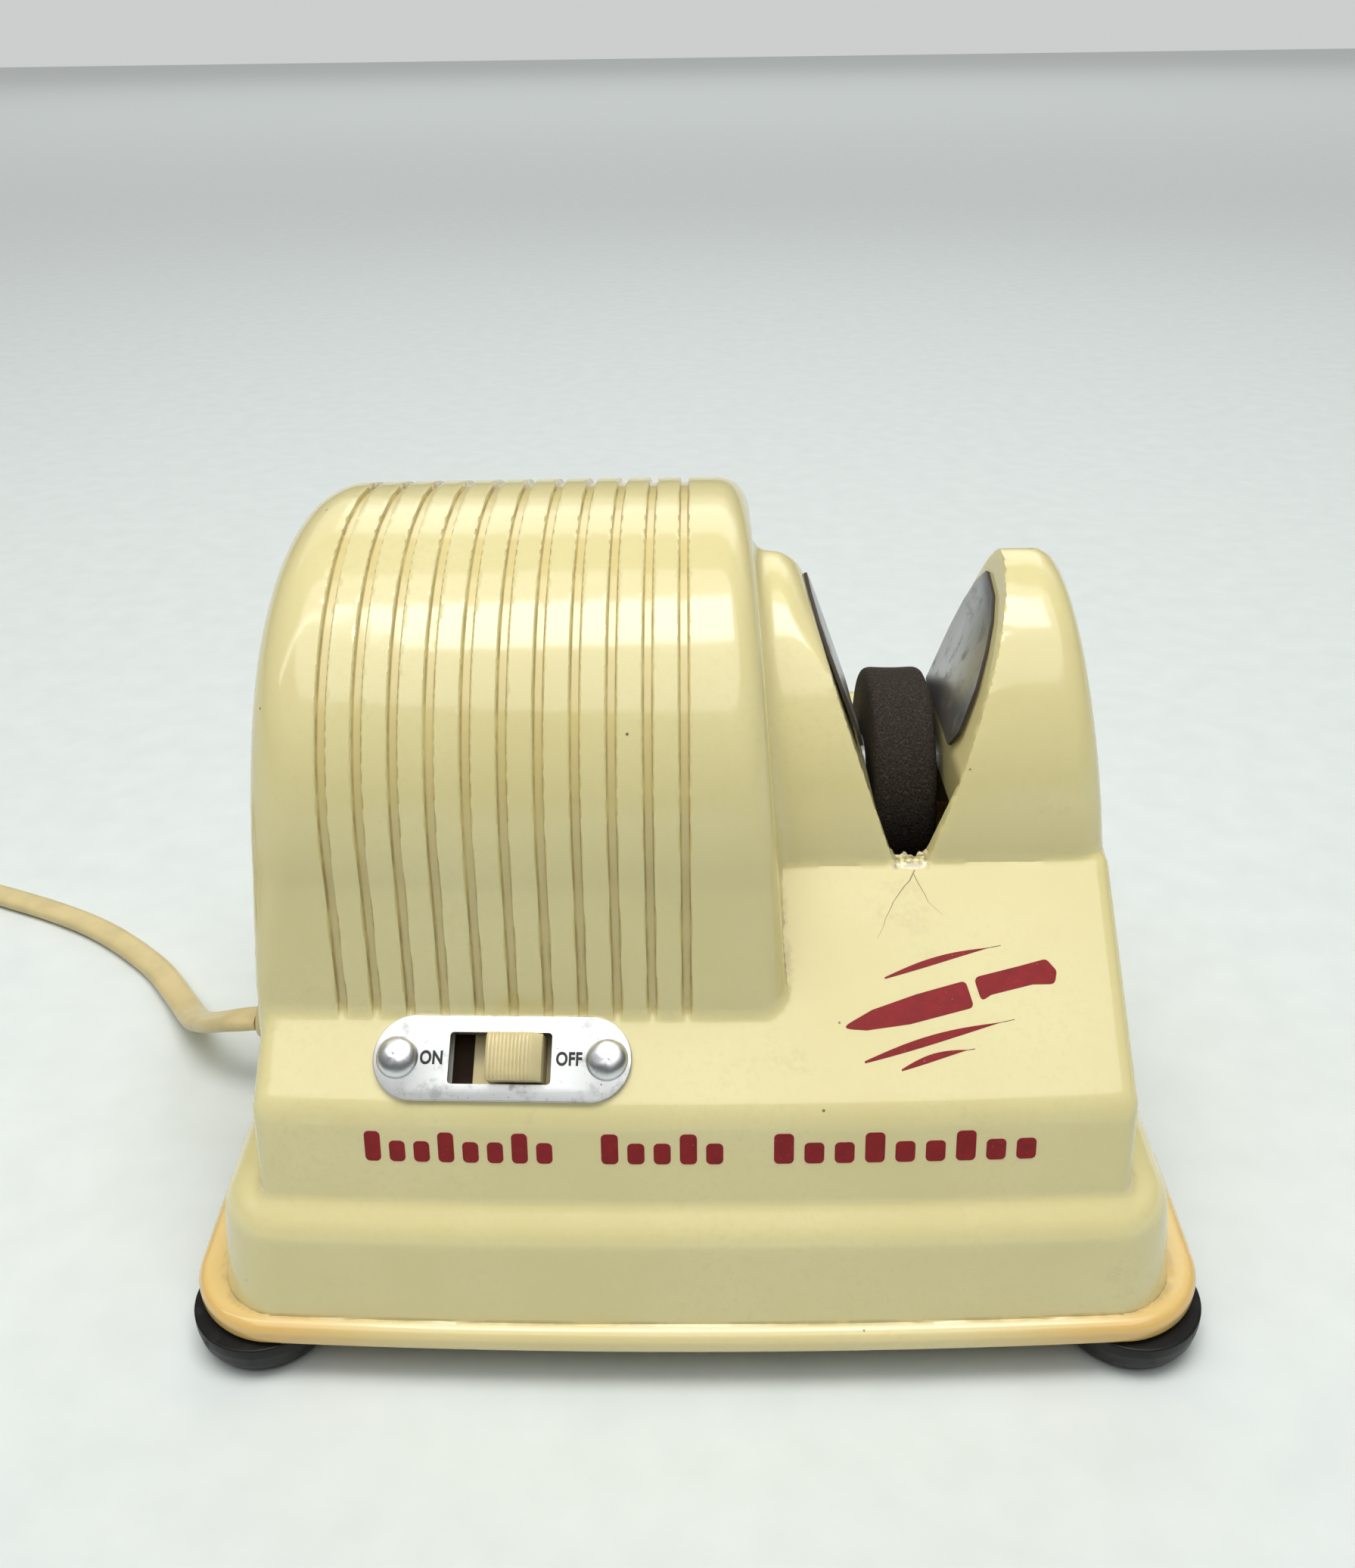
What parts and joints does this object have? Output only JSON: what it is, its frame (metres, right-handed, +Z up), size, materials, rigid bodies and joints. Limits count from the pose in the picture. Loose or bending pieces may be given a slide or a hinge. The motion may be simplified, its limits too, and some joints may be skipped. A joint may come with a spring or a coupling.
{
  "type": "electric knife sharpener",
  "caption": "Tabletop electric knife sharpener: grooved motor dome, abrasive wheel between steel guide plates in a V notch, sliding switch on a sloping deck, flat mains cord.",
  "frame": {"origin": "centre of the footprint, on the plane the rubber feet stand on", "axes": "+X to the right along the wheel's axis, -Y to the front where the switch is, +Z up"},
  "size_m": [0.3161, 0.1434, 0.1099],
  "materials": {
    "cream_plastic": "glossy moulded thermoplastic, yellowed cream",
    "plate_steel": "zinc-plated sheet steel",
    "foot_rubber": "black moulded rubber",
    "steel": "plain turned steel",
    "guide_steel": "satin stainless sheet",
    "lamination": "stacked motor laminations",
    "nylon": "natural nylon",
    "copper": "varnished copper wire",
    "bronze": "oil-filled sintered bronze",
    "fibre": "vulcanised fibre board",
    "fan_plastic": "dark moulded plastic",
    "abrasive": "bonded abrasive grit",
    "brass": "plain stamped brass",
    "lead_plastic": "black insulated hook-up wire",
    "cord_plastic": "soft cream vinyl"
  },
  "bodies": {
    "frame": {"housing": "cream_plastic", "base_plate": "plate_steel", "foot_front_left": "foot_rubber", "foot_front_right": "foot_rubber", "foot_rear_left": "foot_rubber", "foot_rear_right": "foot_rubber", "foot_screws": "steel", "stator_stack": "lamination", "bobbin": "nylon", "winding": "copper", "shading_rings": "copper", "stack_spacers": "steel", "through_bolts": "steel", "through_nuts": "steel", "bracket_left": "plate_steel", "bracket_right": "plate_steel", "bearing_left": "bronze", "bearing_right": "bronze", "bracket_screws": "steel", "bracket_nuts": "steel", "guide_plate_left": "guide_steel", "guide_plate_right": "guide_steel", "switch_plate": "guide_steel", "switch_rivets": "guide_steel", "switch_frame": "plate_steel", "switch_board": "fibre", "switch_terminals": "brass", "lead_to_switch": "lead_plastic", "lead_switch_motor": "lead_plastic", "lead_to_motor": "lead_plastic", "splice_caps": "nylon", "strain_relief": "cord_plastic", "cord_run": "cord_plastic", "cord_coil": "cord_plastic", "cord_tail": "cord_plastic", "plug_body": "cord_plastic", "plug_blades": "brass"},
    "spindle": {"motor_shaft": "steel", "rotor": "lamination", "thrust_collars": "fibre", "cooling_fan": "fan_plastic", "wheel_flange_inner": "steel", "grinding_wheel": "abrasive", "wheel_flange_outer": "steel", "arbor_nut": "steel"},
    "slider": {"switch_button": "cream_plastic"}
  },
  "joints": [
    {"name": "wheel_spin", "type": "hinge", "parent": "frame", "child": "spindle", "pos_m": [0, 0, 0.0625], "axis": [1, 0, 0], "continuous": true},
    {"name": "switch_slide", "type": "slide", "parent": "frame", "child": "slider", "axis": [-0.9997, 0.0237, 0], "range_m": [0, 0.0044]}
  ]
}
